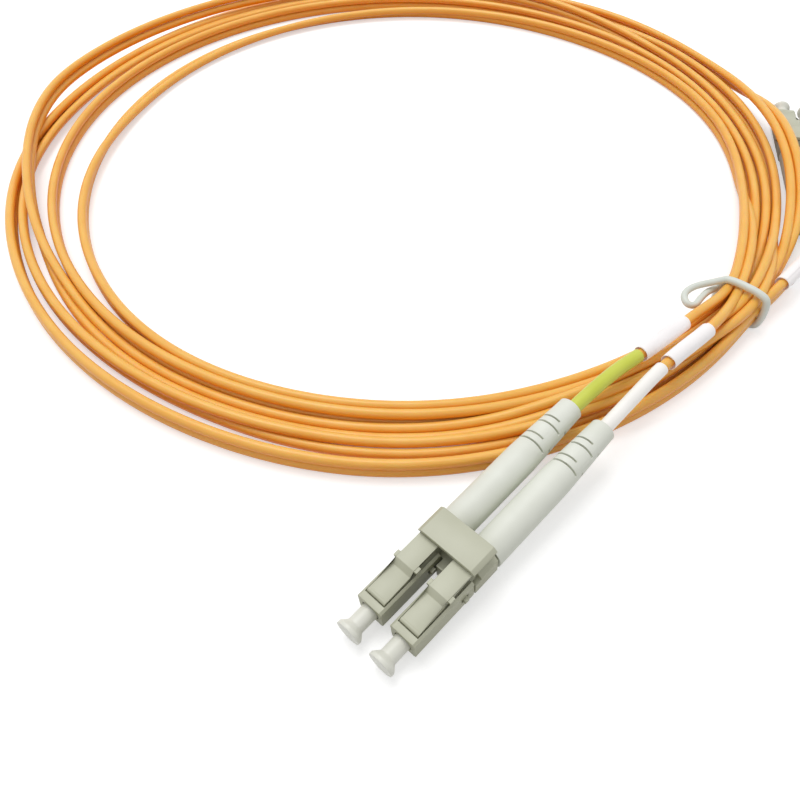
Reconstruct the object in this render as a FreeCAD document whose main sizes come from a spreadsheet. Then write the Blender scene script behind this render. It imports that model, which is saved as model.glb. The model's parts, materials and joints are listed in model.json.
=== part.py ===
"""Duplex fibre patch cable: a coiled two-strand cord with a capped twin plug at each end."""
import FreeCAD, Part
import math
import os
import re

import Sketcher
from FreeCAD import Placement, Rotation, Vector

doc = FreeCAD.newDocument("patch_cable")

# Driving dimensions in millimetres and degrees. Along a plug, lengths count
# rearwards from the front face of its housing.
SIZES = {
    # Cord, wound to this radius at the middle of its turns
    "coil_radius": 84.0,
    "strand_diameter": 1.9,
    "pair_gap": 0.1,
    "cord_height": "=strand_diameter * 2 + pair_gap",
    "bore_slack": 0.02,
    "sleeve_wall": 0.16,
    "label_slack": 0.3,
    "label_wall": 0.2,
    # Plug housing
    "plug_pitch": 6.25,
    "housing_width": 4.5,
    "housing_height": 4.4,
    "housing_length": 12.0,
    "housing_corner": 0.35,
    "nose_bore": 3.1,
    "nose_depth": 3.2,
    "seat_bore": 1.8,
    "seat_depth": 0.6,
    "chamber_width": 3.0,
    "rail_depth": 0.45,
    "rail_start": 1.1,
    "window_inset": 2.6,
    "window_length": 1.4,
    "window_height": 1.2,
    "window_start": "=housing_length - window_inset",
    # Latch lever on top of the housing
    "lever_width": 3.4,
    "lever_side_gap": 0.15,
    "lever_pivot": 1.65,
    "lever_pivot_height": "=housing_height / 2 - 0.05",
    "lever_knuckle": 0.4,
    "lever_thickness": 0.65,
    "lever_step_start": 6.4,
    "lever_step_length": 0.8,
    "lever_step_end": "=lever_step_start + lever_step_length",
    "lever_rise": 0.9,
    "lever_overhang": 1.0,
    "lever_tail": "=housing_length + lever_overhang",
    "ear_length": 1.0,
    "ear_reach": 0.5,
    # Rear body, with its tabs in the housing's side windows
    "insert_length": 2.4,
    "insert_slack": 0.03,
    "rear_body_front": "=housing_length - insert_length",
    "rear_body_bore": 1.2,
    "tab_gap": 0.3,
    "tab_reach": 0.45,
    "neck_width": 3.4,
    "post_width": 2.3,
    "post_length": 5.8,
    # Ferrule, its flange and spring, and the fibre
    "ferrule_diameter": 1.249,
    "ferrule_reach": 2.2,
    "ferrule_length": 6.8,
    "ferrule_edge": 0.15,
    "flange_corners": 2.7,
    "flange_length": 1.4,
    "flange_tail_gap": 1.35,
    "flange_tail_width": 1.5,
    "float_gap": 0.05,
    "spring_wire": 0.28,
    "spring_diameter": 2.4,
    "spring_turns": 4,
    "fibre_diameter": 0.9,
    "fibre_end_gap": 1.0,
    # Duplex clip and its trigger
    "clip_gap": 0.2,
    "clip_length": 4.8,
    "clip_front": "=housing_length + clip_gap",
    "clip_end": "=clip_front + clip_length",
    "clip_width": 11.0,
    "clip_bottom": 2.7,
    "clip_top": 2.5,
    "clip_corner": 1.1,
    "clip_lip": 1.2,
    "clip_lip_height": 0.9,
    "clip_slack": 0.05,
    "clip_slot": 2.9,
    "tongue_width": 1.2,
    "tongue_length": 1.5,
    "tongue_height": 1.0,
    "bed_width": 8.4,
    "bed_length": 1.2,
    "bed_top": 3.65,
    "trigger_overhang": 0.1,
    "trigger_front": "=clip_front - trigger_overhang",
    "trigger_width": 10.5,
    "trigger_bevel": 0.65,
    "trigger_bottom": 3.85,
    "trigger_thickness": 0.75,
    "trigger_inset": 0.7,
    "trigger_pivot": "=clip_end - trigger_inset",
    "trigger_knuckle": 0.5,
    "trigger_slack": 0.06,
    # Crimp sleeve and boot
    "neck_end": "=clip_end + clip_gap * 0.75",
    "post_end": "=neck_end + post_length",
    "crimp_slack": 0.05,
    "crimp_wall": 0.3,
    "crimp_tail": 2.6,
    "crimp_end": "=post_end + crimp_tail",
    "boot_gap": 0.15,
    "boot_length": 28.3,
    "boot_front": "=neck_end + boot_gap",
    "boot_end": "=boot_front + boot_length",
    "boot_diameter": 5.3,
    "boot_end_diameter": 4.2,
    "boot_taper_start": 12.5,
    "boot_taper_end": 0.5,
    "boot_slack": 0.06,
    "slit_width": 0.35,
    "slit_first": 10.4,
    "slit_stagger": 1.45,
    "slit_repeat": 4.3,
    "slit_angle": 130,
    "slit_turn": 38,
    # Dust cap
    "cap_reach": 4.4,
    "cap_rim_diameter": 4.2,
    "cap_rim_width": 0.6,
    "cap_flare": 0.9,
    "cap_tube_diameter": 2.7,
    "cap_tube_end": 2.8,
    "cap_bore": 1.32,
    "cap_end_wall": 1.8,
    # Tie
    "tie_diameter": 1.2,
    "tie_clearance": 0.5,
    "tie_rest_gap": 0.15,
    "tie_corner": 1.6,
    # How the two ends lie
    "near_yaw": 45.9,
    "near_pitch": 5.3,
    "near_height": 3.05,
    "far_yaw": -101.4,
}

sheet = doc.addObject("Spreadsheet::Sheet", "Sizes")
for row, (alias, value) in enumerate(SIZES.items(), 1):
    sheet.set(f"A{row}", alias)
    sheet.set(f"B{row}", str(value))
    sheet.setAlias(f"B{row}", alias)
doc.recompute()


def size(alias):
    """One cell's number."""
    return float(sheet.get(alias))


def bound(words):
    """The expression on the sheet's cells for words such as 'boot_end - boot_round'."""
    return re.sub(r"[a-z_]+", lambda word: "Sizes." + word.group(0), words)


def number(words):
    """The number that a sum of cells, each with an optional factor, comes to."""
    total = 0.0
    pattern = r"([+-]?)\s*([a-z_]+|[\d.]+)(?:\s*([*/])\s*([\d.]+))?"
    for sign, name, operator, factor in re.findall(pattern, words):
        term = size(name) if name[0].isalpha() else float(name)
        if operator == "*":
            term *= float(factor)
        if operator == "/":
            term /= float(factor)
        total += -term if sign == "-" else term
    return total


def plane(body, role):
    """One of a body's three origin planes or axes."""
    return [item for item in body.Origin.OriginFeatures if item.Role == role][0]


def outline(body, role, points, start=None):
    """A closed outline of straight edges whose corners are tied to the sheet."""
    sketch = body.newObject("Sketcher::SketchObject", body.Name + "Outline")
    sketch.AttachmentSupport = [(plane(body, role), "")]
    sketch.MapMode = "FlatFace"
    if start:
        sketch.setExpression("AttachmentOffset.Base.z", bound(start))
    corners = [Vector(number(across), number(up), 0) for across, up in points]
    count = len(corners)
    for index, corner in enumerate(corners):
        sketch.addGeometry(Part.LineSegment(corner, corners[(index + 1) % count]), False)
    for index in range(count):
        sketch.addConstraint(Sketcher.Constraint("Coincident", index, 2, (index + 1) % count, 1))
    for index, (across, up) in enumerate(points):
        for kind, words, value in (("DistanceX", across, corners[index].x),
                                   ("DistanceY", up, corners[index].y)):
            rule = sketch.addConstraint(Sketcher.Constraint(kind, -1, 1, index, 1, value))
            if re.search("[a-z]", words):
                sketch.setExpression(f"Constraints[{rule}]", bound(words))
    return sketch


def turned(name, points):
    """A turned piece on the plug's axis, from (along, radius) corners."""
    body = doc.addObject("PartDesign::Body", name)
    sketch = outline(body, "XY_Plane", points)
    turn = body.newObject("PartDesign::Revolution", name + "Turn")
    turn.Profile = sketch
    turn.ReferenceAxis = (sketch, ["H_Axis"])
    turn.Angle = 360
    return body


def padded(name, role, points, length, start=None, middle=False):
    """A straight piece with one outline, pushed out along its plane's normal."""
    body = doc.addObject("PartDesign::Body", name)
    pad = body.newObject("PartDesign::Pad", name + "Pad")
    pad.Profile = outline(body, role, points, start)
    pad.setExpression("Length", bound(length))
    pad.Midplane = middle
    return body


def box(name, low, spans):
    """A block from its low corner and its three spans, in words."""
    block = doc.addObject("Part::Box", name)
    for axis, words in zip("xyz", low):
        block.setExpression("Placement.Base." + axis, bound(words))
    for side, words in zip(("Length", "Width", "Height"), spans):
        block.setExpression(side, bound(words))
    return block


def rod(name, radius, length, centre, direction):
    """A cylinder from the middle of its first end, along one axis."""
    turn = {"x": Rotation(Vector(0, 1, 0), 90), "y": Rotation(Vector(1, 0, 0), -90)}[direction]
    cylinder = doc.addObject("Part::Cylinder", name)
    cylinder.Placement = Placement(Vector(), turn)
    for axis, words in zip("xyz", centre):
        cylinder.setExpression("Placement.Base." + axis, bound(words))
    cylinder.setExpression("Radius", bound(radius))
    cylinder.setExpression("Height", bound(length))
    return cylinder


def bar(name, sides, width, start, length):
    """A straight piece along the plug's axis with a regular outline, given by its width across flats."""
    prism = doc.addObject("Part::Prism", name)
    prism.Polygon = sides
    flat_up = Rotation(Vector(0, 0, 1), 180 / sides)
    prism.Placement = Placement(Vector(), Rotation(Vector(0, 1, 0), 90) * flat_up)
    prism.setExpression("Circumradius", f"({bound(width)}) / 2 / {math.cos(math.pi / sides)}")
    prism.setExpression("Height", bound(length))
    prism.setExpression("Placement.Base.x", bound(start))
    return prism


def fuse(name, shapes):
    """Several shapes joined into one."""
    joined = doc.addObject("Part::MultiFuse", name)
    joined.Shapes = shapes
    return joined


def cut(name, base, tools):
    """A shape with others taken away."""
    taken = doc.addObject("Part::Cut", name)
    taken.Base = base
    taken.Tool = tools[0] if len(tools) == 1 else fuse(name + "Tools", tools)
    return taken


nodes = []


def settle(piece, label, place):
    """Give a finished piece its label and its place in the frame."""
    piece.Label = label
    piece.Placement = place
    nodes.append(piece)


def polar(bearing, radius, height=0.0):
    """A step from the coil's centre by bearing, radius and height."""
    turn = math.radians(bearing)
    return Vector(radius * math.cos(turn), radius * math.sin(turn), height)


# The frame's origin lies under the middle of the two plugs and the legs, inside the coil.
COIL_CENTRE = -polar(307.85, size("coil_radius") - 12.58)
TIE_ANGLE = 316


def at_angle(bearing, outward, height):
    """A point by its bearing about the coil's centre and its distance outward from the coil's radius."""
    return COIL_CENTRE + polar(bearing, size("coil_radius") + outward, height)


near_turn = Rotation(Vector(0, 0, 1), size("near_yaw")) * Rotation(Vector(0, 1, 0), -size("near_pitch"))
near_pose = Placement(at_angle(267.24, 37.59, size("near_height")), near_turn)
far_pose = Placement(at_angle(6.11, 10.84, size("clip_bottom")), Rotation(Vector(0, 0, 1), size("far_yaw")))


def build_housing(key):
    half_width = "housing_width / 2"
    half_height = "housing_height / 2"
    shell = padded("Shell" + key, "YZ_Plane", [
        ("housing_width / 2 - housing_corner", "-" + half_height),
        (half_width, "housing_corner - housing_height / 2"),
        (half_width, "housing_height / 2 - housing_corner"),
        ("housing_width / 2 - housing_corner", half_height),
        ("housing_corner - housing_width / 2", half_height),
        ("-" + half_width, "housing_height / 2 - housing_corner"),
        ("-" + half_width, "housing_corner - housing_height / 2"),
        ("housing_corner - housing_width / 2", "-" + half_height)], "housing_length")
    nose = rod("Nose" + key, "nose_bore / 2", "nose_depth + 1", ("-1", "0", "0"), "x")
    seat = rod("Seat" + key, "seat_bore / 2", "nose_depth + seat_depth", ("0", "0", "0"), "x")
    chamber = box("Chamber" + key, ("nose_depth + seat_depth", "-chamber_width / 2", "-chamber_width / 2"),
                  ("housing_length", "chamber_width", "chamber_width"))
    rails = box("Rails" + key,
                ("rail_start", "-lever_width / 2 - lever_side_gap", "housing_height / 2 - rail_depth"),
                ("housing_length", "lever_width + lever_side_gap * 2", "housing_height"))
    window = box("Window" + key, ("window_start", "-housing_width", "-window_height / 2"),
                 ("window_length", "housing_width * 2", "window_height"))
    return cut("Housing" + key, shell, [nose, seat, chamber, rails, window])


def build_latch(key):
    arm = padded("Arm" + key, "XZ_Plane", [
        ("lever_pivot", "lever_pivot_height - lever_thickness / 2"),
        ("lever_step_start", "lever_pivot_height"),
        ("lever_step_end", "lever_pivot_height + lever_rise"),
        ("lever_tail", "lever_pivot_height + lever_rise"),
        ("lever_tail", "lever_pivot_height + lever_rise + lever_thickness"),
        ("lever_step_end", "lever_pivot_height + lever_rise + lever_thickness"),
        ("lever_step_start", "lever_pivot_height + lever_thickness"),
        ("lever_pivot", "lever_pivot_height + lever_thickness / 2")], "lever_width", middle=True)
    knuckle = rod("Knuckle" + key, "lever_knuckle", "lever_width",
                  ("lever_pivot", "-lever_width / 2", "lever_pivot_height"), "y")
    ears = box("Ears" + key,
               ("lever_step_end", "-lever_width / 2 - ear_reach", "lever_pivot_height + lever_rise"),
               ("ear_length", "lever_width + ear_reach * 2", "lever_thickness * 0.85"))
    return fuse("Latch" + key, [arm, knuckle, ears])


def build_ferrule(key):
    return turned("Ferrule" + key, [
        ("-ferrule_reach", "0"), ("-ferrule_reach", "ferrule_diameter / 2 - ferrule_edge"),
        ("ferrule_edge - ferrule_reach", "ferrule_diameter / 2"),
        ("ferrule_length - ferrule_reach", "ferrule_diameter / 2"),
        ("ferrule_length - ferrule_reach", "0")])


FLANGE_FRONT = "nose_depth + seat_depth + float_gap"
FERRULE_BACK = "ferrule_length - ferrule_reach"


def build_flange(key):
    head = bar("Head" + key, 6, "flange_corners * 0.866", FLANGE_FRONT, "flange_length")
    tail = bar("Tail" + key, 8, "flange_tail_width", FLANGE_FRONT,
               "rear_body_front - flange_tail_gap - nose_depth - seat_depth - float_gap")
    socket = rod("Socket" + key, "ferrule_diameter / 2", FERRULE_BACK, ("0", "0", "0"), "x")
    bore = bar("FlangeBore" + key, 8, "fibre_diameter", "nose_depth", "housing_length")
    return cut("Flange" + key, fuse("FlangeBlank" + key, [head, tail]), [socket, bore])


SPRING_FRONT = FLANGE_FRONT + " + flange_length + float_gap"
SPRING_STEPS = 8


def build_spring(key):
    """A helix of short straight pieces of square wire."""
    middle = number("spring_diameter / 2 - spring_wire / 2")
    front = number(SPRING_FRONT + " + spring_wire / 2")
    span = number("rear_body_front - float_gap - spring_wire / 2") - front
    steps = int(SPRING_STEPS * size("spring_turns"))
    line = doc.addObject("Part::Polygon", "SpringLine" + key)
    line.Nodes = [Vector(front + span * step / steps,
                         middle * math.cos(2 * math.pi * step / SPRING_STEPS),
                         middle * math.sin(2 * math.pi * step / SPRING_STEPS)) for step in range(steps + 1)]
    wire = doc.addObject("Part::RegularPolygon", "SpringWire" + key)
    wire.Polygon = 4
    wire.setExpression("Circumradius", bound("spring_wire / 2") + " * sqrt(2)")
    wire.Placement = Placement(line.Nodes[0], Rotation(Vector(1, 0, 0), 90) * Rotation(Vector(0, 0, 1), 45))
    spring = doc.addObject("Part::Sweep", "Spring" + key)
    spring.Sections = [wire]
    spring.Spine = line
    spring.Solid = True
    spring.Transition = "Right corner"
    return spring


def build_rear_body(key):
    insert = bar("Insert" + key, 4, "chamber_width - insert_slack * 2", "rear_body_front",
                 "insert_length + clip_gap / 2")
    neck = bar("Neck" + key, 8, "neck_width", "housing_length + insert_slack",
               "neck_end - housing_length - insert_slack")
    post = bar("Post" + key, 8, "post_width", "clip_end", "post_end - clip_end")
    tabs = box("Tabs" + key,
               ("window_start + tab_gap", "-housing_width / 2 - tab_reach",
                "tab_gap / 2 - window_height / 2"),
               ("window_length - tab_gap * 2", "housing_width + tab_reach * 2", "window_height - tab_gap"))
    passage = rod("Passage" + key, "rear_body_bore / 2", "post_end", ("0", "0", "0"), "x")
    return cut("RearBody" + key, fuse("RearBlank" + key, [insert, neck, post, tabs]), [passage])


CRIMP_FRONT = "neck_end + crimp_slack"
CRIMP_WIDTH = "post_width + crimp_slack * 4 + crimp_wall * 2"
STRAND_START = "post_end + crimp_slack * 2"


def build_crimp(key):
    outside = bar("CrimpOutside" + key, 6, CRIMP_WIDTH, CRIMP_FRONT, "crimp_end - neck_end - crimp_slack")
    inside = bar("CrimpInside" + key, 8, "post_width + crimp_slack * 2", "clip_end", "boot_length")
    return cut("Crimp" + key, outside, [inside])


def build_boot(key):
    # The throat clears the corners of the six-sided crimp sleeve.
    throat = "post_width * 0.58 + crimp_slack * 2.4 + crimp_wall * 1.16 + boot_slack"
    tail_bore = "strand_diameter * 0.68 + boot_slack"
    body = turned("Boot" + key, [
        ("boot_front", throat), ("boot_front", "boot_diameter / 2"),
        ("boot_end - boot_taper_start", "boot_diameter / 2"),
        ("boot_end - boot_taper_end", "boot_end_diameter / 2"), ("boot_end", "boot_end_diameter / 2"),
        ("boot_end", tail_bore), ("crimp_end + boot_slack", tail_bore), ("crimp_end + boot_slack", throat)])
    # Each group of slits is a ring open above and below, then one turned round the axis.
    rings = [("boot_end - slit_first", False),
             ("boot_end - slit_first + slit_stagger", True),
             ("boot_end - slit_first + slit_repeat", False),
             ("boot_end - slit_first + slit_repeat + slit_stagger", True)]
    for index, (at, turned_round) in enumerate(rings):
        sketch = outline(body, "XZ_Plane", [
            (at, "strand_diameter / 2"), (at + " + slit_width", "strand_diameter / 2"),
            (at + " + slit_width", "boot_diameter"), (at, "boot_diameter")])
        if turned_round:
            sketch.AttachmentOffset = Placement(Vector(), Rotation(Vector(1, 0, 0), -size("slit_turn")))
            sketch.setExpression("AttachmentOffset.Rotation.Angle", bound("-slit_turn"))
        groove = body.newObject("PartDesign::Groove", f"Slit{key}{index}")
        groove.Profile = sketch
        groove.ReferenceAxis = (sketch, ["H_Axis"])
        groove.setExpression("Angle", bound("slit_angle"))
        groove.Midplane = True
        pair = body.newObject("PartDesign::PolarPattern", f"SlitPair{key}{index}")
        pair.Originals = [groove]
        pair.Axis = (plane(body, "X_Axis"), [""])
        pair.Angle = 360
        pair.Occurrences = 2
        body.Tip = pair
    return body


def build_cap(key):
    rim = "cap_rim_width - cap_reach"
    return turned("Cap" + key, [
        ("-cap_reach", "0"), ("-cap_reach", "cap_rim_diameter / 2"), (rim, "cap_rim_diameter / 2"),
        (rim + " + cap_flare", "cap_tube_diameter / 2"),
        ("cap_tube_end", "cap_tube_diameter / 2"), ("cap_tube_end", "cap_bore / 2"),
        ("cap_end_wall - cap_reach", "cap_bore / 2"), ("cap_end_wall - cap_reach", "0")])


def build_fibre(key):
    flat = "fibre_diameter * 0.5"
    corner = "fibre_diameter * 0.2071"
    return padded("Fibre" + key, "YZ_Plane", [
        (flat, "-" + corner), (flat, corner), (corner, flat), ("-" + corner, flat),
        ("-" + flat, corner), ("-" + flat, "-" + corner), ("-" + corner, "-" + flat), (corner, "-" + flat)],
        STRAND_START + " - fibre_end_gap - bore_slack - ferrule_length + ferrule_reach",
        start=FERRULE_BACK + " + bore_slack")


def build_clip(key):
    side = "clip_width / 2"
    corner = "clip_width / 2 - clip_corner"
    block = padded("ClipBlock" + key, "YZ_Plane", [
        (corner, "-clip_bottom"), (side, "clip_corner - clip_bottom"), (side, "clip_top - clip_corner"),
        (corner, "clip_top"), ("clip_corner - clip_width / 2", "clip_top"),
        ("-" + side, "clip_top - clip_corner"), ("-" + side, "clip_corner - clip_bottom"),
        ("clip_corner - clip_width / 2", "-clip_bottom")], "clip_length", start="clip_front")
    bed = box("Bed" + key, ("clip_end - bed_length", "-bed_width / 2", "clip_top / 2"),
              ("bed_length", "bed_width", "bed_top - clip_top / 2"))
    tongue = box("Tongue" + key, ("clip_front - tongue_length", "-tongue_width / 2", "-clip_bottom * 0.8"),
                 ("tongue_length + clip_lip", "tongue_width", "tongue_height + clip_bottom * 0.8"))
    lip = box("Lip" + key, ("clip_front - clip_lip", "-clip_width", "clip_lip_height"),
              ("clip_lip * 2", "clip_width * 2", "clip_top"))
    groove = rod("BedGroove" + key, "trigger_knuckle + trigger_slack", "clip_width",
                 ("trigger_pivot", "-clip_width / 2", "trigger_bottom"), "y")
    tools = [lip, groove]
    for hand, sign in (("Left", ""), ("Right", "-")):
        across = sign + "plug_pitch / 2"
        channel = bar("Channel" + hand + key, 8, "neck_width + clip_slack * 2", "clip_front - clip_gap",
                      "clip_length + clip_gap * 2")
        channel.setExpression("Placement.Base.y", bound(across))
        slot = box("Slot" + hand + key,
                   ("clip_front - clip_gap", across + " - clip_slot / 2", "-clip_bottom * 2"),
                   ("clip_length + clip_gap * 2", "clip_slot", "clip_bottom * 2"))
        tools += [channel, slot]
    return cut("Clip" + key, fuse("ClipBlank" + key, [block, bed, tongue]), tools)


def build_trigger(key):
    top = "trigger_bottom + trigger_thickness"
    plate = padded("Plate" + key, "YZ_Plane", [
        ("-trigger_width / 2", "trigger_bottom"), ("trigger_width / 2", "trigger_bottom"),
        ("trigger_width / 2", top + " - trigger_bevel"), ("trigger_width / 2 - trigger_bevel", top),
        ("trigger_bevel - trigger_width / 2", top), ("-trigger_width / 2", top + " - trigger_bevel")],
        "clip_length + trigger_overhang", start="trigger_front")
    knuckle = rod("TriggerKnuckle" + key, "trigger_knuckle", "bed_width",
                  ("trigger_pivot", "-bed_width / 2", "trigger_bottom"), "y")
    return fuse("Trigger" + key, [plate, knuckle])


PLUG_PIECES = {
    "housing": build_housing, "latch": build_latch, "ferrule": build_ferrule, "ferrule_flange": build_flange,
    "spring": build_spring, "rear_body": build_rear_body, "crimp_sleeve": build_crimp, "boot": build_boot,
    "dust_cap": build_cap, "fibre": build_fibre,
}
places = {}
for end, pose in (("a", near_pose), ("b", far_pose)):
    for side, across in ((1, size("plug_pitch") / 2), (2, -size("plug_pitch") / 2)):
        place = pose * Placement(Vector(0, across, 0), Rotation())
        places[f"{end}{side}"] = place
        for name, build in PLUG_PIECES.items():
            settle(build(f"{end.upper()}{side}"), f"plug_{end}{side}_{name}", place)
    settle(build_clip(end.upper()), f"duplex_clip_{end}", pose)
    settle(build_trigger(end.upper()), f"clip_trigger_{end}", pose)


def rounded(points):
    """Straight runs joined by tangent arcs, each arc as wide as its shorter run allows."""
    edges = []
    start = points[0]
    for before, corner, after in zip(points, points[1:], points[2:]):
        arriving = corner - before
        leaving = after - corner
        reach = 0.45 * min(arriving.Length, leaving.Length)
        arriving.normalize()
        leaving.normalize()
        turn = arriving.getAngle(leaving)
        radius = reach / math.tan(turn / 2)
        first = corner - arriving * reach
        last = corner + leaving * reach
        inwards = (leaving - arriving).normalize()
        middle = corner + inwards * (radius / math.cos(turn / 2) - radius)
        edges.append(Part.LineSegment(start, first).toShape())
        edges.append(Part.Arc(first, middle, last).toShape())
        print(f"bend radius {radius:.1f} turn {math.degrees(turn):.1f}")
        start = last
    edges.append(Part.LineSegment(start, points[-1]).toShape())
    return edges


def portion(edges, begin, finish):
    """The stretch of a route between two distances from its start."""
    kept = []
    passed = 0.0
    for edge in edges:
        low = max(begin - passed, 0.0)
        high = min(finish - passed, edge.Length)
        if high - low > 1e-6:
            kept.append(edge.Curve.toShape(edge.getParameterByLength(low), edge.getParameterByLength(high)))
        passed += edge.Length
    return kept


# Cords and what is wrapped round them have flat sides, with the section area of the round ones.
SIDES = 8
TIE_SIDES = 6
CORNER_REACH = math.sqrt(2 * math.pi / (SIDES * math.sin(2 * math.pi / SIDES)))


def tube(edges, corner_radius, sides=SIDES):
    """A solid of flat sides along a route, one side up."""
    start = edges[0].valueAt(edges[0].FirstParameter)
    tangent = edges[0].tangentAt(edges[0].FirstParameter)
    sideways = Vector(0, 0, 1).cross(tangent).normalize()
    upward = tangent.cross(sideways)
    turns = [2 * math.pi * side / sides + math.pi / 2 + math.pi / sides for side in range(sides + 1)]
    section = Part.makePolygon([start + (sideways * math.cos(turn) + upward * math.sin(turn)) * corner_radius
                                for turn in turns])
    return Part.Wire(edges).makePipeShell([section], True, False)


def solid(label, shape):
    """A piece whose shape follows a route."""
    piece = doc.addObject("Part::Feature", label)
    piece.Shape = shape
    settle(piece, label, Placement())


# How far out the coil's innermost turn, the next one and the outermost one run at these
# bearings, counted from the tie once round. The turns between are even.
BEARINGS = [316, 330, 345, 373, 410, 450, 490, 526, 543, 568, 597, 627, 650, 663, 676]
FIRST_TURN = [-2.6, -5.4, -8.2, -10.4, -10.6, -10.4, -10.6, -10.4, -8.8, -5.0, -1.4, -1.5, -3.2, -3.6, -3.0]
SECOND_TURN = [-3.0, -4.4, -5.9, -7.4, -6.0, -4.2, -2.4, -0.8, -0.5, 0.5, 1.0, 0.7, -1.2, -1.7, -1.1]
LAST_TURN = [0.8, 1.2, 1.6, 4.6, 6.4, 7.4, 8.6, 10.2, 8.4, 8.9, 10.4, 11.0, 7.0, 4.6, 2.7]

half_strand = size("strand_diameter") / 2


def ring_wire(offsets):
    """A closed outline of arcs, each through three of the bearings."""
    points = [at_angle(bearing, outward, 0) for bearing, outward in zip(BEARINGS, offsets)]
    points[-1] = points[0]
    return Part.Wire([Part.Arc(*points[index:index + 3]).toShape() for index in range(0, len(points) - 1, 2)])


# Beside the far plug the outermost turn leaves the bundle, so the outline follows the turn inside it.
outside = [last if index > 4 else second + (last - second) * 2 / 3
           for index, (second, last) in enumerate(zip(SECOND_TURN, LAST_TURN))]
outside[0] = LAST_TURN[0]
inside = [min(first, second) for first, second in zip(FIRST_TURN, SECOND_TURN)]
coil_face = Part.Face([ring_wire([outward + half_strand for outward in outside]),
                       ring_wire([outward - half_strand for outward in inside])], "Part::FaceMakerBullseye")
coil = coil_face.extrude(Vector(0, 0, size("cord_height")))

# Each leg starts inside its crimp sleeve and runs straight out of the boot by the first
# number, then over or under the bundle to the tie. Points are by hand.
NEAR_TOP = 6.05
LEGS = {
    "a1": (19.4, [(305.9, -2.2, 8.3), (316.0, -2.6, NEAR_TOP), (334.0, -7.2, 2.2)]),
    "a2": (18.4, [(306.7, 1.8, 8.0), (316.0, -0.6, NEAR_TOP), (334.0, -5.2, 2.2)]),
    "b1": (8.9, [(323.5, 7.4, 2.2), (316.0, 2.75, 2.25), (302.0, 2.3, 1.2)]),
    "b2": (8.4, [(323.0, 3.9, 5.3), (316.0, 2.75, 4.3), (302.0, 2.3, 3.2)]),
}
# Sleeve and label spans along each leg, from the boot's end.
SPANS = {
    "a1": (-3.0, 18.8, 19.3, 31.4),
    "a2": (-3.0, 18.4, 20.2, 32.0),
    "b1": (-3.0, 9.0, 11.4, 22.5),
    "b2": (-3.0, 9.0, 10.4, 22.0),
}

# The tie lies in an upright plane across the bundle, close round the turns and the legs.
tie_radius = size("tie_diameter") / 2
left = size("coil_radius") + SECOND_TURN[0] - half_strand - size("tie_clearance") - tie_radius
right = size("coil_radius") + LAST_TURN[-1] + half_strand + size("tie_clearance") + tie_radius
low = tie_radius
high = NEAR_TOP + half_strand + size("tie_rest_gap") + tie_radius
bend = size("tie_corner")
across_bundle = Placement(COIL_CENTRE, Rotation(Vector(0, 0, 1), TIE_ANGLE))
gap_width = size("tie_diameter") + size("tie_rest_gap")
gap = Part.makeBox(right - left + tie_radius * 4, gap_width, gap_width)
gap.Placement = across_bundle * Placement(Vector(left - tie_radius * 2, -gap_width / 2, 0), Rotation())
solid("cord_coil", coil.cut(gap))

corners = [Vector(left, 0, low), Vector(right, 0, low), Vector(right, 0, high), Vector(left, 0, high)]
corners = [across_bundle.multVec(corner) for corner in corners]
tie_edges = []
for index, corner in enumerate(corners):
    back = (corners[index - 1] - corner).normalize()
    ahead = (corners[(index + 1) % 4] - corner).normalize()
    middle = corner + (back + ahead) * (bend - bend / math.sqrt(2))
    tie_edges.append(Part.Arc(corner + back * bend, middle, corner + ahead * bend).toShape())
    tie_edges.append(Part.LineSegment(corner + ahead * bend,
                                      corners[(index + 1) % 4] - ahead * bend).toShape())
# A free end curls back beside the bundle.
TAIL = [(316.2, -3.0, high), (313.4, -6.3, high - 0.1), (310.4, -8.1, 7.2), (308.6, -6.3, 7.0),
        (310.0, -4.6, 7.0)]
tie_ring = tube(tie_edges[1:] + tie_edges[:1], tie_radius, TIE_SIDES)
tie_tail = tube(rounded([at_angle(*point) for point in TAIL]), tie_radius, TIE_SIDES)
solid("cable_tie", tie_ring.fuse(tie_tail))

begin = number(STRAND_START)
strand_reach = half_strand * CORNER_REACH
sleeve_bore = (strand_reach + size("bore_slack")) / math.cos(math.pi / SIDES)
label_bore = (strand_reach + size("label_slack")) / math.cos(math.pi / SIDES)
for key, (straight, onward) in LEGS.items():
    points = [places[key].multVec(Vector(along, 0, 0)) for along in (begin, size("boot_end") + straight)]
    points += [at_angle(*point) for point in onward]
    route = rounded(points)
    leg = tube(route, strand_reach)
    length = sum(edge.Length for edge in route)
    ratio = leg.Volume / (length * math.pi * half_strand ** 2)
    print(f"leg {key} length {length:.1f} volume ratio {ratio:.4f}")
    solid("leg_" + key, leg)
    spans = [size("boot_end") - begin + reach for reach in SPANS[key]]
    stretch = portion(route, spans[0], spans[1])
    sleeve = tube(stretch, sleeve_bore + size("sleeve_wall")).cut(tube(stretch, sleeve_bore))
    solid("marker_sleeve_" + key, sleeve)
    # A label is a straight roll with room for the strand to bend a little inside it.
    stretch = portion(route, spans[2], spans[3])
    first = stretch[0].valueAt(stretch[0].FirstParameter)
    last = stretch[-1].valueAt(stretch[-1].LastParameter)
    roll = [Part.LineSegment(first, last).toShape()]
    solid("wrap_label_" + key, tube(roll, label_bore + size("label_wall")).cut(tube(roll, label_bore)))

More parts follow.
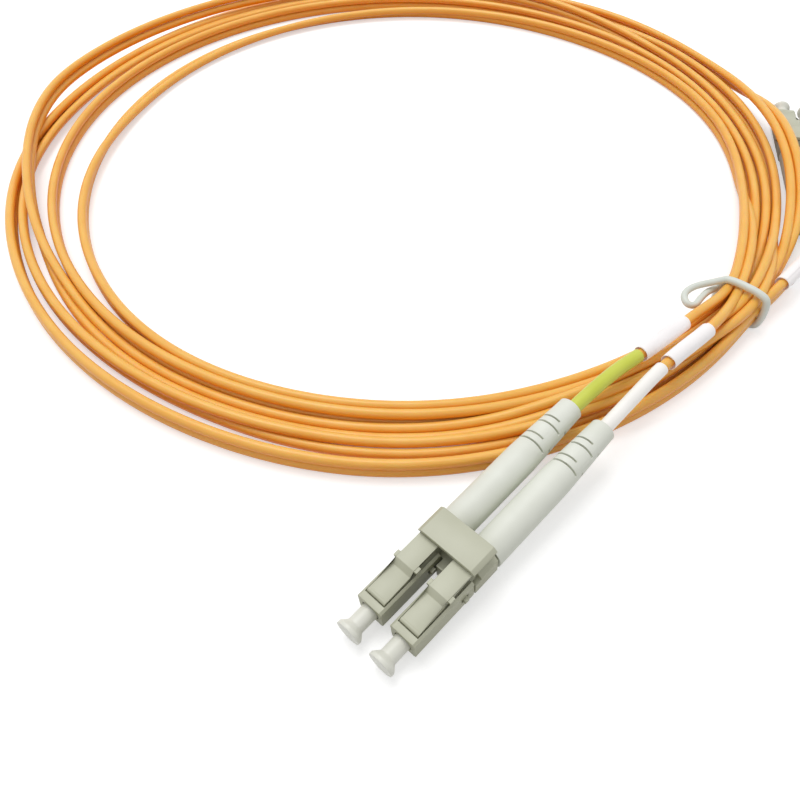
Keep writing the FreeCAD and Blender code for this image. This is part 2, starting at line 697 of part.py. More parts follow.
# The outermost turn climbs over the far plug and comes down again, with both strands in one section.
LOOSE = [(318, 0.2, 2.3), (329, 0.4, 3.6), (340, 0.4, 6.4), (350, 0.8, 7.4), (358, 0.8, 7.2),
         (366, 2.0, 5.6), (375, 3.2, 3.4), (387, 3.8, 2.2), (399, 4.2, 2.0)]
loose_route = rounded([at_angle(*point) for point in LOOSE])
loose = tube(loose_route, strand_reach * math.sqrt(2))
length = sum(edge.Length for edge in loose_route)
section = 2 * math.pi * half_strand ** 2
print(f"loose turn length {length:.1f} volume ratio {loose.Volume / (length * section):.4f}")
solid("loose_turn", loose)

doc.recompute()
for item in doc.Objects:
    if "Invalid" in item.State or "Error" in item.State:
        raise RuntimeError(f"{item.Label}: {item.State}")
os.makedirs("parts", exist_ok=True)
for piece in nodes:
    if piece.Shape.isNull() or not piece.Shape.isValid() or piece.Shape.Volume <= 0:
        raise RuntimeError(f"{piece.Label}: the shape is not a sound solid")
    piece.Shape.exportStep(f"parts/{piece.Label}.step")
print(len(nodes), "pieces")
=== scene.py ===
# %% [markdown]
# # A coiled two-strand fibre cable with four small plugs
# The CAD model gives every piece its size and place. This script loads it as a fixed frame and then gives
# the cable its looks: smooth cords in place of the faceted ones, moulded plastic with soft edges, paper
# labels, and light. Everything is in metres, in the same frame as the CAD.

# %% Load the CAD frame
import json
import math

import bpy
from mathutils import Matrix, Vector

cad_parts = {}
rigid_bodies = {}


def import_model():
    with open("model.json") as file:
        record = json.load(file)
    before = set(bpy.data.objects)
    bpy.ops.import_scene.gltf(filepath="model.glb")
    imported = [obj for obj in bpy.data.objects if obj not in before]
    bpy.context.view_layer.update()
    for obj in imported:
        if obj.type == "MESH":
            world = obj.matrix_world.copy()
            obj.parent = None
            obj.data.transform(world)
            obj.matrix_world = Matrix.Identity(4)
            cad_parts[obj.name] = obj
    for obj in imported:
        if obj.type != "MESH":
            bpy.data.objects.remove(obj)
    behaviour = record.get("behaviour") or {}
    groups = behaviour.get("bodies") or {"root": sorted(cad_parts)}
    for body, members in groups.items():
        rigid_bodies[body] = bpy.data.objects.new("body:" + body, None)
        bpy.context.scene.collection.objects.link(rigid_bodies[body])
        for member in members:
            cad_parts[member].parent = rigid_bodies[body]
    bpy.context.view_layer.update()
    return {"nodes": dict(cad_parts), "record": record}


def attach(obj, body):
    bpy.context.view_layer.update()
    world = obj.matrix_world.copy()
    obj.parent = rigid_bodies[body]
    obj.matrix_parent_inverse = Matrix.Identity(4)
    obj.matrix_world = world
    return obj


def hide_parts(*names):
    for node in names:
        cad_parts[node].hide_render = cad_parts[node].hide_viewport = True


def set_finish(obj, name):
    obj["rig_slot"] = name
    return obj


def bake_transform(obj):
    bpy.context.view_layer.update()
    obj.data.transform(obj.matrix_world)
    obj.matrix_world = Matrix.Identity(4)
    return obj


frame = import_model()
nodes = frame["nodes"]
body_of = {node: body for body, members in frame["record"]["behaviour"]["bodies"].items() for node in members}
MM = 0.001

# %% [markdown]
# ## The camera
# The photograph was taken from close in front of the coil, looking down. Everything in the coil is easiest to
# place by its bearing round the coil's centre, so that centre comes first and the camera is set from it. The
# tilt and the lens were worked out from the near plug and the coil's outline in the photograph.

# %% Coil centre and camera
COIL_RADIUS = 84.0 * MM
ORIGIN_BEARING = 307.85
ORIGIN_INSIDE = 12.58 * MM
CAMERA_OFFSET = Vector((-4.0, -164.0, 101.6)) * MM
CAMERA_TILT = 40
CAMERA_LENS = 33.98


def polar(bearing, radius, height=0.0):
    angle = math.radians(bearing)
    return Vector((radius * math.cos(angle), radius * math.sin(angle), height))


COIL_CENTRE = -polar(ORIGIN_BEARING, COIL_RADIUS - ORIGIN_INSIDE)

bpy.ops.object.select_all(action="DESELECT")
bpy.ops.object.camera_add(location=COIL_CENTRE + CAMERA_OFFSET, rotation=(math.radians(CAMERA_TILT), 0, 0))
camera = bpy.context.object
camera.name = "photo_camera"
camera.data.lens = CAMERA_LENS
camera.data.sensor_width = 36.0
camera.data.clip_start = 0.005
bpy.context.scene.camera = camera
print("camera at", [round(value, 4) for value in camera.location])

# %% [markdown]
# ## Floor and light
# The cable lies on white. A floor that is only lit never comes out quite white, so it also glows a little, but
# only for rays from the camera and for mirror and glass rays: the glow lights nothing, and the shadow stays.

# %% White floor
FLOOR_SIZE = 6.0
FLOOR_GREY = 0.72
FLOOR_GLOW = 0.5

bpy.context.scene.view_settings.view_transform = "Standard"
bpy.ops.mesh.primitive_plane_add(size=FLOOR_SIZE, location=(0, 0, 0))
floor = bpy.context.object
floor.name = "white_floor"
floor_paint = bpy.data.materials.new("floor_paint")
floor_paint.use_nodes = True
floor_nodes = floor_paint.node_tree.nodes
floor_links = floor_paint.node_tree.links
floor_shader = floor_nodes["Principled BSDF"]
floor_shader.inputs["Base Color"].default_value = (FLOOR_GREY, FLOOR_GREY, FLOOR_GREY, 1)
floor_shader.inputs["Roughness"].default_value = 0.9
floor_shader.inputs["Specular IOR Level"].default_value = 0.0
floor_shader.inputs["Emission Color"].default_value = (1, 1, 1, 1)


def seen_directly(tree):
    """A value that is 1 for rays from the camera, off a mirror or through glass, and 0 for the light itself."""
    path = tree.nodes.new("ShaderNodeLightPath")
    first = tree.nodes.new("ShaderNodeMath")
    first.operation = "MAXIMUM"
    tree.links.new(path.outputs["Is Camera Ray"], first.inputs[0])
    tree.links.new(path.outputs["Is Glossy Ray"], first.inputs[1])
    second = tree.nodes.new("ShaderNodeMath")
    second.operation = "MAXIMUM"
    tree.links.new(first.outputs[0], second.inputs[0])
    tree.links.new(path.outputs["Is Transmission Ray"], second.inputs[1])
    return second.outputs[0]


glow = floor_nodes.new("ShaderNodeMath")
glow.operation = "MULTIPLY"
glow.inputs[1].default_value = FLOOR_GLOW
floor_links.new(seen_directly(floor_paint.node_tree), glow.inputs[0])
floor_links.new(glow.outputs[0], floor_shader.inputs["Emission Strength"])
floor.data.materials.append(floor_paint)
print("floor", floor.name)

# %% [markdown]
# The world is a soft white sky. Rays from the camera see it at full white, and it lights the cable with less. One
# broad lamp above adds the highlights along the strands and a faint shadow. A small lamp would make both hard.

# %% Soft light from all round and one broad lamp
SKY_LIGHT = 0.56
LAMP_PLACE = Vector((-0.2, 0.25, 0.8))
LAMP_AIM = Vector((-0.04, 0.04, 0))
LAMP_SIZE = 0.5
LAMP_WATTS = 3.6

world = bpy.data.worlds.new("studio")
bpy.context.scene.world = world
world.use_nodes = True
backdrop = world.node_tree.nodes["Background"]
backdrop.inputs["Color"].default_value = (1, 1, 1, 1)
world_level = world.node_tree.nodes.new("ShaderNodeMapRange")
world_level.inputs["To Min"].default_value = SKY_LIGHT
world_level.inputs["To Max"].default_value = 1.0
world.node_tree.links.new(seen_directly(world.node_tree), world_level.inputs["Value"])
world.node_tree.links.new(world_level.outputs["Result"], backdrop.inputs["Strength"])
bpy.ops.object.light_add(type="AREA", location=LAMP_PLACE)
lamp = bpy.context.object
lamp.name = "broad_lamp"
lamp.data.size = LAMP_SIZE
lamp.data.energy = LAMP_WATTS
lamp.rotation_euler = (LAMP_AIM - lamp.location).to_track_quat("-Z", "Y").to_euler()
print("lamp of", lamp.data.energy, "W")

# %% [markdown]
# ## The route of the two strands
# The cord is a pair of strands moulded side by side. From the near plugs they run under the tie, go five times
# round the coil, and come back through the tie to the far plugs. Each strand is one NURBS line, whose control
# points are the route's own points. The turns' points come from a loop: each list gives how far one turn lies
# outside the coil's radius, in mm, at these bearings. A screw modifier would make even turns, but no two turns of
# a coil wound by hand lie alike, so every turn has its own list.

# %% Stations of the five turns
BEARINGS = [316, 330, 345, 360, 373, 410, 450, 490, 526, 543, 568, 597, 627, 650, 663, 676]
TURN_LISTS = [
    [-2.1, -6.7, -9.2, -9.1, -9.0, -10.6, -10.4, -10.6, -10.4, -8.8, -5.0, -1.2, -1.3, -3.2, -3.7, -3.0],
    [-3.0, -5.3, -6.6, -6.9, -6.9, -6.0, -4.2, -2.4, -0.8, -0.5, 0.1, 0.7, 0.5, -1.3, -1.8, -1.1],
    [-1.1, -3.4, -4.2, -4.3, -4.0, -0.9, 3.0, 7.5, 10.4, 6.0, 2.8, 3.6, 3.3, 1.3, 0.8, 1.6],
    [1.6, -1.5, -2.0, -1.0, 0.1, 2.0, 3.2, 4.0, 4.8, 6.1, 6.2, 6.4, 6.6, 3.8, 2.0, 0.8],
    [0.8, 1.5, 0.7, 1.0, 3.0, 6.4, 7.2, 7.6, 7.6, 8.3, 8.8, 10.3, 10.9, 7.0, 4.5, 2.6],
]
TURNS = len(TURN_LISTS)
outward_stations = [(BEARINGS[0], TURN_LISTS[0][0])]
for number, turn in enumerate(TURN_LISTS):
    for bearing, outward in zip(BEARINGS[1:], turn[1:]):
        outward_stations.append((bearing + 360 * number, outward))
print(len(outward_stations), "stations on", TURNS, "turns")

# %% [markdown]
# Standing on edge, the pair leans 0 degrees, and lying flat it leans 90. It climbs where it crosses other turns,
# and most of all where the last turn goes over the far plugs. There it leans past 90, so that its outer strand is
# the higher one.

# %% Where the pair leans over and where it climbs
def on_turn(number, stations):
    """Stations given by their bearing on one turn, moved on to that turn of the whole route."""
    return [(bearing + 360 * (number - 1), value) for bearing, value in stations]


LEAN_STATIONS = (
    on_turn(1, [(316, 90), (330, 90), (337, 60), (341, 35), (346, 12), (373, 0), (410, 10), (450, 40), (500, 75),
                (526, 70), (540, 40), (552, 15), (570, 0), (640, 0)])
    + on_turn(2, [(316, 0), (640, 0)])
    + on_turn(3, [(316, 0), (566, 0), (585, 80), (632, 80), (648, 70), (663, 84), (676, 90)])
    + on_turn(4, [(322, 72), (326, 45), (330, 20), (337, 0), (395, 0), (410, 50), (425, 75), (490, 75), (515, 65),
                  (530, 55), (545, 40), (560, 15), (572, 0), (605, 0), (618, 45), (632, 60), (644, 25), (656, 0)])
    + on_turn(5, [(316, 0), (325, 4), (331, 45), (336, 85), (340, 90), (347, 105), (353, 122), (360, 125),
                  (366, 95), (371, 50), (376, 28), (387, 5),
                  (410, 0), (430, 40), (450, 75), (490, 75), (515, 55), (530, 35), (545, 10), (560, 0), (676, 0)]))
CLIMB_STATIONS = (
    on_turn(1, [(316, 5.1), (323, 5.05), (330, 4.45), (337, 3.05), (345, 0.5), (352, 0), (640, 0)])
    + on_turn(2, [(316, 0), (640, 0)])
    + on_turn(3, [(316, 0), (396, 0), (412, 1.2), (428, 2.3), (455, 2.5), (490, 2.8), (520, 3.1), (540, 3.7),
                  (552, 2.8), (560, 1.4), (568, 0.3), (576, 0), (632, 0), (642, 1.4), (650, 2.8), (659, 3.7),
                  (668, 4.4), (676, 5.1)])
    + on_turn(4, [(322, 4.7), (326, 3.8), (330, 2.4), (336, 0.6), (342, 0), (660, 0)])
    + on_turn(5, [(316, 0), (322, 0), (326, 0.2), (330, 1.5), (336, 3.8), (340, 5.04), (345, 6.0), (351, 7.1),
                  (356, 7.4), (361, 7.0), (366, 5.6), (371, 3.7), (376, 1.9), (387, 0.2), (399, 0), (676, 0)]))
print("pair climbs", max(climb for _, climb in CLIMB_STATIONS), "mm at the far plugs")

# %% [markdown]
# Between its stations, every list is read off a smooth line. Straight steps would be simpler, but they would show
# as kinks in the cord.

# %% Values between the stations
def smooth_value(stations, at):
    """The value at a bearing, on a smooth line through the stations."""
    index = 0
    while index < len(stations) - 2 and stations[index + 1][0] < at:
        index += 1
    (left, low), (right, high) = stations[index], stations[index + 1]
    before = stations[max(index - 1, 0)]
    after = stations[min(index + 2, len(stations) - 1)]
    slope_low = (high - before[1]) / (right - before[0])
    slope_high = (after[1] - low) / (after[0] - left)
    span = right - left
    share = (at - left) / span
    turn_in = 2 * share ** 3 - 3 * share ** 2 + 1
    return (turn_in * low + (1 - turn_in) * high
            + (share ** 3 - 2 * share ** 2 + share) * span * slope_low
            + (share ** 3 - share ** 2) * span * slope_high)


print("at bearing 345 the pair first leans", round(smooth_value(LEAN_STATIONS, 345), 1), "degrees")

# %% [markdown]
# The two strands of the pair stay a strand's width apart. Standing on edge, strand 1 is on top, and lying flat, it
# is on the inside. The passes through the tie go over the tie's foot, apart from two that lie on top of the others.
# A line with control points every ten degrees cuts a little inside them, so the radius is stretched by the amount
# that it cuts.

# %% Control points of the turns
STRAND = 1.9 * MM
HALF_PAIR = 0.97 * MM
HALF_HEIGHT = 0.96
STEP = 10
TIE_BEARING = 316
TIE_LIFT = 1.5
TIE_SPREAD = 9
ON_TOP_PASSES = (0, 3)


def at_angle(bearing, outward, height):
    return COIL_CENTRE + polar(bearing, COIL_RADIUS + outward * MM, height * MM)


def pair_points(bearing):
    lean = math.radians(smooth_value(LEAN_STATIONS, bearing))
    passes = round((bearing - TIE_BEARING) / 360)
    past_tie = bearing - TIE_BEARING - 360 * passes
    lift = 0.0 if passes in ON_TOP_PASSES else TIE_LIFT * math.exp(-(past_tie / TIE_SPREAD) ** 2)
    height = HALF_HEIGHT + HALF_HEIGHT * math.cos(lean) + max(smooth_value(CLIMB_STATIONS, bearing), 0) + lift
    outward = smooth_value(outward_stations, bearing)
    stretch = 1 / math.cos(math.radians(STEP / 2))
    middle = COIL_CENTRE + polar(bearing, (COIL_RADIUS + outward * MM) * stretch, height * MM)
    apart = Vector((0, 0, math.cos(lean))) - polar(bearing, 1.0) * math.sin(lean)
    return middle + apart * HALF_PAIR, middle - apart * HALF_PAIR


turn_bearings = range(TIE_BEARING + STEP, TIE_BEARING + 360 * TURNS, STEP)
turn_points = [pair_points(bearing) for bearing in turn_bearings]
print(len(turn_points), "control points round the coil")

# %% [markdown]
# Each strand leaves its plug straight, through the boot. A plug's own frame runs rearwards along x, with the two
# plugs of a pair either side of y = 0.

# %% Where the plugs lie
NEAR_NOSE = (267.24, 37.59, 3.05)
NEAR_YAW = 45.9
NEAR_PITCH = -5.3
FAR_NOSE = (6.11, 10.84, 2.7)
FAR_YAW = -101.4
PLUG_SIDE = 3.125
LEG_START = 23.05
BOOT_END = 45.6

near_place = (Matrix.Translation(at_angle(*NEAR_NOSE)) @ Matrix.Rotation(math.radians(NEAR_YAW), 4, "Z")
              @ Matrix.Rotation(math.radians(NEAR_PITCH), 4, "Y"))
far_place = Matrix.Translation(at_angle(*FAR_NOSE)) @ Matrix.Rotation(math.radians(FAR_YAW), 4, "Z")
plugs = {"a1": (near_place, PLUG_SIDE), "a2": (near_place, -PLUG_SIDE),
         "b1": (far_place, PLUG_SIDE), "b2": (far_place, -PLUG_SIDE)}


def behind_plug(plug, reach):
    place, side = plugs[plug]
    return place @ (Vector((reach, side, 0)) * MM)


print("nose of the near plugs at", [round(value, 4) for value in behind_plug("a1", 0)])

# %% [markdown]
# Between the tie and the boots, the pair is split and each strand goes its own way. These legs follow no rule, so
# their points are listed: some by bearing, distance outwards and height, and the others by distance behind the
# plug's nose, which keeps a leg straight inside its boot.

# %% Legs from the plugs to the tie
near_leg_1 = [behind_plug("a1", LEG_START), behind_plug("a1", 52),
              behind_plug("a1", BOOT_END + 19.4) + Vector((1.6, -1.5, -0.8)) * MM,
              at_angle(305.9, -2.2, 8.3), at_angle(316.0, -2.65, 5.8)]
near_leg_2 = [behind_plug("a2", LEG_START), behind_plug("a2", 51.5), behind_plug("a2", BOOT_END + 18.4),
              at_angle(306.7, 1.8, 8.4), at_angle(316.0, -1.05, 5.8)]
far_leg_1 = [at_angle(316.0, 2.65, 4.3), at_angle(323.0, 4.1, 5.3),
             behind_plug("b2", BOOT_END + 8.4) + Vector((0, 0, 2.2)) * MM,
             behind_plug("b2", 44.5), behind_plug("b2", LEG_START)]
far_leg_2 = [at_angle(316.0, 2.65, 2.5), at_angle(323.0, 3.6, 1.5), at_angle(329.6, 4.7, 1.42),
             behind_plug("b1", BOOT_END + 2.0), behind_plug("b1", 41.0), behind_plug("b1", LEG_START)]
print("legs leave the boots at", [round(value, 4) for value in behind_plug("a1", BOOT_END)])

# %% [markdown]
# A strand could be a mesh tube. As a curve with a bevel it stays smooth and keeps its own line, which gives its
# length and carries the sleeves and labels. A curve is as thick as its bevel depth times the radius of its points.
# Blender also widens the curve's box by that radius, which is 1, so a metre, unless it is set. Here it is 0.001,
# and the depth is in millimetres.

# %% Both strands as smooth lines
def smooth_line(name, points):
    line = bpy.data.curves.new(name, "CURVE")
    line.dimensions = "3D"
    line.resolution_u = 8
    spline = line.splines.new("NURBS")
    spline.points.add(len(points) - 1)
    for control, place in zip(spline.points, points):
        control.co = (*place, 1.0)
        control.radius = MM
    spline.order_u = 3
    spline.use_endpoint_u = True
    piece = bpy.data.objects.new(name, line)
    bpy.context.scene.collection.objects.link(piece)
    return piece


def line_points(piece):
    """Points along a curve that has no thickness yet."""
    thread = bpy.data.meshes.new_from_object(piece)
    places = [vertex.co.copy() for vertex in thread.vertices]
    bpy.data.meshes.remove(thread)
    return places


def run_length(places):
    return sum((b - a).length for a, b in zip(places, places[1:]))


strand_1 = smooth_line("strand_1", near_leg_1 + [pair[0] for pair in turn_points] + far_leg_1)
strand_2 = smooth_line("strand_2", near_leg_2 + [pair[1] for pair in turn_points] + far_leg_2)
strand_lines = {strand.name: line_points(strand) for strand in (strand_1, strand_2)}
for strand in (strand_1, strand_2):
    strand.data.bevel_depth = STRAND / 2 / MM
    strand.data.bevel_resolution = 5
    strand.data.use_fill_caps = True
    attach(strand, "cable")
    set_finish(strand, "cord_jacket")
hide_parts("cord_coil", "leg_a1", "leg_b2")
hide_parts("loose_turn", "leg_a2", "leg_b1")
print({name: round(run_length(places), 3) for name, places in strand_lines.items()}, "m long")

# %% [markdown]
# ## Marker sleeves and labels
# A coloured sleeve is slipped over each strand behind its boot, and a strip of white film is rolled round each
# strand behind that. A cylinder could be bent to fit, but only by eye. Both are swept along points read from the
# strand's own line instead, so they follow it exactly.

# %% Points along a leg, counted from the end of its boot
leg_lines = {"a1": strand_lines["strand_1"], "a2": strand_lines["strand_2"],
             "b1": strand_lines["strand_2"][::-1], "b2": strand_lines["strand_1"][::-1]}


def leg_stretch(plug, begin, end):
    """Points of a leg between two distances, in mm, behind the end of its boot."""
    places = leg_lines[plug]
    begin = begin + BOOT_END - LEG_START
    end = end + BOOT_END - LEG_START
    travelled = 0.0
    wanted = []
    for here, ahead in zip(places, places[1:]):
        step = (ahead - here).length / MM
        if travelled <= begin < travelled + step:
            wanted.append(here.lerp(ahead, (begin - travelled) / step))
        elif begin < travelled < end:
            wanted.append(here)
        if travelled <= end < travelled + step:
            wanted.append(here.lerp(ahead, (end - travelled) / step))
            return wanted
        travelled += step
    return wanted


print({plug: len(places) for plug, places in leg_lines.items()}, "points on the legs' lines")

# %% Tubes along the legs
SLEEVE_RADIUS = 1.2 * MM
# Where each sleeve begins and ends, and then its label, in mm behind the boot.
SPANS = {"a1": (-3.0, 17.1, 17.6, 29.4), "a2": (-3.0, 16.7, 18.5, 30.4),
         "b1": (-3.0, 9.0, 9.6, 20.4), "b2": (-3.0, 9.0, 12.6, 24.6)}


def only(piece):
    """Selects one piece alone, so that an operator acts on nothing else."""
    bpy.ops.object.select_all(action="DESELECT")
    piece.select_set(True)
    bpy.context.view_layer.objects.active = piece


def joined_line(name, places):
    """A curve that goes straight from each point to the next."""
    line = bpy.data.curves.new(name, "CURVE")
    line.dimensions = "3D"
    spline = line.splines.new("POLY")
    spline.points.add(len(places) - 1)
    for control, place in zip(spline.points, places):
        control.co = (*place, 1.0)
    piece = bpy.data.objects.new(name, line)
    bpy.context.scene.collection.objects.link(piece)
    return piece


def as_mesh(piece):
    only(piece)
    bpy.ops.object.convert(target="MESH")
    return bpy.context.object


def swept(name, places, radius, rings=6, capped=False):
    """A round tube along some points, as a mesh."""
    tube = joined_line(name, places)
    tube.data.bevel_depth = radius
    tube.data.bevel_resolution = rings
    tube.data.use_fill_caps = capped
    return as_mesh(tube)


sleeves = {}
for plug, (begin, end, _, _) in SPANS.items():
    sleeves[plug] = swept("sleeve_" + plug, leg_stretch(plug, begin, end), SLEEVE_RADIUS)
print({plug: len(sleeve.data.polygons) for plug, sleeve in sleeves.items()}, "faces on the bare tubes")

# %% [markdown]
# A sleeve is open at both ends, so its wall shows. The bare tube is thickened inwards, which keeps its outer size,
# and a narrow bevel rounds the rims, because a cut tube never has a knife edge.

# %% Walls of the sleeves
SLEEVE_WALL = 0.2 * MM
RIM_SHARE = 0.3
RIM_BEND = 50
SMOOTH_BEND = 40
LIME_LEGS = ("a1", "b2")


def apply_all(piece):
    only(piece)
    for modifier in list(piece.modifiers):
        bpy.ops.object.modifier_apply(modifier=modifier.name)


def walled(piece, wall):
    """Gives a bare surface a wall, inwards, and rounds its rims by a share of that wall."""
    thicken = piece.modifiers.new("wall", "SOLIDIFY")
    thicken.thickness = wall
    thicken.offset = -1.0
    soften = piece.modifiers.new("soft_ends", "BEVEL")
    soften.width = wall * RIM_SHARE
    soften.segments = 2
    soften.limit_method = "ANGLE"
    soften.angle_limit = math.radians(RIM_BEND)
    apply_all(piece)
    bpy.ops.object.shade_smooth_by_angle(angle=math.radians(SMOOTH_BEND))
    return piece


for plug, sleeve in sleeves.items():
    walled(sleeve, SLEEVE_WALL)
    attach(sleeve, "cable")
    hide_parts("marker_sleeve_" + plug)
    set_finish(sleeve, "lime_sleeve" if plug in LIME_LEGS else "white_sleeve")
print("sleeves", [sleeve.name for sleeve in sleeves.values()])

# %% [markdown]
# A rolled label overlaps itself, so it is swept with a profile that is a little more than one turn of a spiral.
# The lip where the film ends shows as a fine line along the roll.

# %% Profile of a rolled label
PROFILE_POINTS = 41
ROLL_FROM = 60
ROLL_THROUGH = 410
ROLL_RADIUS = 1.27
ROLL_RISE = 0.14


def spiral_profile():
    profile = bpy.data.curves.new("label_profile", "CURVE")
    spline = profile.splines.new("POLY")
    spline.points.add(PROFILE_POINTS - 1)
    for index, control in enumerate(spline.points):
        share = index / (PROFILE_POINTS - 1)
        angle = math.radians(ROLL_FROM + ROLL_THROUGH * share)
        radius = (ROLL_RADIUS + ROLL_RISE * share) * MM
        control.co = (radius * math.cos(angle), radius * math.sin(angle), 0, 1)
    piece = bpy.data.objects.new("label_profile", profile)
    bpy.context.scene.collection.objects.link(piece)
    return piece


profile = spiral_profile()
print(profile.name, "turns through", ROLL_THROUGH, "degrees")

# %% [markdown]
# The profile is swept along each leg as the curve's bevel object, since the usual bevel is round and closed. The
# rolled surface then gets the thickness of the film.

# %% Rolled labels
LABEL_WALL = 0.08 * MM
for plug, (_, _, begin, end) in SPANS.items():
    roll = joined_line("label_" + plug, leg_stretch(plug, begin, end))
    roll.data.bevel_mode = "OBJECT"
    roll.data.bevel_object = profile
    label = walled(as_mesh(roll), LABEL_WALL)
    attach(label, "cable")
    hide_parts("wrap_label_" + plug)
    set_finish(label, "label_film")
bpy.data.objects.remove(profile)

# %% [markdown]
# ## The tie
# A soft round plastic tie goes once round the bundle and its free end curls back. A torus would be too even for a
# ring that is drawn close round a bundle, so both are tubes swept along smooth lines. The ring's points are given by
# distance from the coil's centre and height, in mm, and the free end's by bearing, distance outwards and height.

# %% Tie ring and its free end
TIE_RINGS = 5
TIE_RADIUS = 0.7
TAIL_RADIUS = TIE_RADIUS * 0.92
RING = [(84.0, 0.72), (81.4, 0.7), (79.4, 0.8), (79.0, 2.6), (79.0, 5.6), (79.5, 7.45), (81.4, 7.9), (83.7, 8.0),
        (86.0, 7.95), (87.9, 7.45), (88.4, 5.5), (88.4, 2.6), (87.9, 0.8), (86.2, 0.7), (84.0, 0.72)]
TAIL = [(316.2, -4.3, 7.35), (313.9, -5.7, 7.6), (311.4, -7.5, 7.5), (309.3, -7.6, 7.2), (308.2, -5.7, 6.9),
        (308.9, -4.4, 6.7), (310.9, -5.1, 6.6), (313.4, -5.5, 6.1), (315.2, -5.2, 5.3)]


def tie_spot(radius, height):
    return COIL_CENTRE + polar(TIE_BEARING, radius * MM, height * MM)


def tie_tube(name, places, radius):
    line = smooth_line(name + "_line", places)
    tube = swept(name, line_points(line), radius * MM, TIE_RINGS, capped=True)
    bpy.data.objects.remove(line)
    return tube


tie_ring = tie_tube("tie_ring", [tie_spot(*spot) for spot in RING], TIE_RADIUS)
tie_tail = tie_tube("tie_tail", [at_angle(*spot) for spot in TAIL], TAIL_RADIUS)
for piece in (tie_ring, tie_tail):
    only(piece)
    bpy.ops.object.shade_smooth()
    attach(piece, "cable")
    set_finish(piece, "tie_plastic")
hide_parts("cable_tie")
print("tie", tie_ring.name, tie_tail.name)

# %% [markdown]
# ## Moulded plastic
# The plug pieces have the right shapes already, but a mesh straight from CAD has knife edges and flat shading.
# A copy of each takes its place: doubled corners are merged, flat faces are joined again, and a narrow bevel rounds
# the edges as a mould does. A wide one would overrun the slits in the boots.

# %% Softened copies of the moulded pieces
MERGE_WITHIN = 0.01 * MM
FLAT_WITHIN = 1.5
MOULD_BEND = 35
CLIP_EDGE = 0.2
# How far each piece's edges are rounded, in mm, from which bend in degrees, and its finish.
EDGES = {"housing": (0.03, 50, "plug_plastic"), "latch": (0.08, 30, "plug_plastic"),
         "boot": (0.12, 30, "boot_vinyl"), "dust_cap": (0.1, 30, "cap_plastic")}


def softened(node, edge, bend=30):
    """A copy of a CAD piece that takes its place, with its edges rounded."""
    copy = bpy.data.objects.new(node + "_moulded", nodes[node].data.copy())
    bpy.context.scene.collection.objects.link(copy)
    copy.data.materials.clear()
    only(copy)
    bpy.ops.mesh.customdata_custom_splitnormals_clear()
    bpy.ops.object.mode_set(mode="EDIT")
    bpy.ops.mesh.select_all(action="SELECT")
    bpy.ops.mesh.remove_doubles(threshold=MERGE_WITHIN)
    bpy.ops.mesh.dissolve_limited(angle_limit=math.radians(FLAT_WITHIN))
    bpy.ops.object.mode_set(mode="OBJECT")
    soften = copy.modifiers.new("soft_edges", "BEVEL")
    soften.width = edge * MM
    soften.segments = 2
    soften.limit_method = "ANGLE"
    soften.angle_limit = math.radians(bend)
    apply_all(copy)
    bpy.ops.object.shade_smooth_by_angle(angle=math.radians(MOULD_BEND))
    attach(copy, body_of[node])
    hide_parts(node)
    return copy


moulded = {}
for plug in plugs:
    for part, (edge, bend, slot) in EDGES.items():
        node = f"plug_{plug}_{part}"
        moulded[node] = softened(node, edge, bend)
        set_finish(moulded[node], slot)
for end in "ab":
    for node in ("duplex_clip_" + end, "clip_trigger_" + end):
        moulded[node] = softened(node, CLIP_EDGE)
        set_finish(moulded[node], "plug_plastic")
print(len(moulded), "softened pieces")

# %% [markdown]
# The spring behind each ferrule closes up when the plug is pushed home. A new helix could be wound for it, but the
# CAD's own has the right coils already, so a copy of that takes its place.

# %% Copies of the springs
for plug, (place, _) in plugs.items():
    node = f"plug_{plug}_spring"
    spring = bpy.data.objects.new(node + "_wound", nodes[node].data.copy())
    bpy.context.scene.collection.objects.link(spring)
    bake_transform(spring)
    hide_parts(node)
    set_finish(spring, "spring_steel")

# %% [markdown]
# ## Finishes
# No real plastic is one flat colour. A shared group gives fine grain, and a slower drift of tone, and each
# material mixes them with its own colours and strengths.

# %% Shared grain
def colour(red, green, blue):
    """A colour as a picture shows it, 0 to 255, turned into the linear values that shaders use."""
    parts = [value / 255 for value in (red, green, blue)]
    return tuple(part / 12.92 if part <= 0.04045 else ((part + 0.055) / 1.055) ** 2.4 for part in parts) + (1.0,)


grain = bpy.data.node_groups.new("fine_grain", "ShaderNodeTree")
grain.interface.new_socket("Grain Scale", in_out="INPUT", socket_type="NodeSocketFloat")
grain.interface.new_socket("Drift Scale", in_out="INPUT", socket_type="NodeSocketFloat")
grain.interface.new_socket("Grain", in_out="OUTPUT", socket_type="NodeSocketFloat")
grain.interface.new_socket("Drift", in_out="OUTPUT", socket_type="NodeSocketFloat")
grain_in = grain.nodes.new("NodeGroupInput")
grain_out = grain.nodes.new("NodeGroupOutput")
grain_place = grain.nodes.new("ShaderNodeTexCoord")
fine = grain.nodes.new("ShaderNodeTexNoise")
fine.inputs["Detail"].default_value = 3.0
slow = grain.nodes.new("ShaderNodeTexNoise")
slow.inputs["Detail"].default_value = 2.0
for noise, scale, result in ((fine, "Grain Scale", "Grain"), (slow, "Drift Scale", "Drift")):
    grain.links.new(grain_place.outputs["Object"], noise.inputs["Vector"])
    grain.links.new(grain_in.outputs[scale], noise.inputs["Scale"])
    grain.links.new(noise.outputs["Fac"], grain_out.inputs[result])
print("group", grain.name)
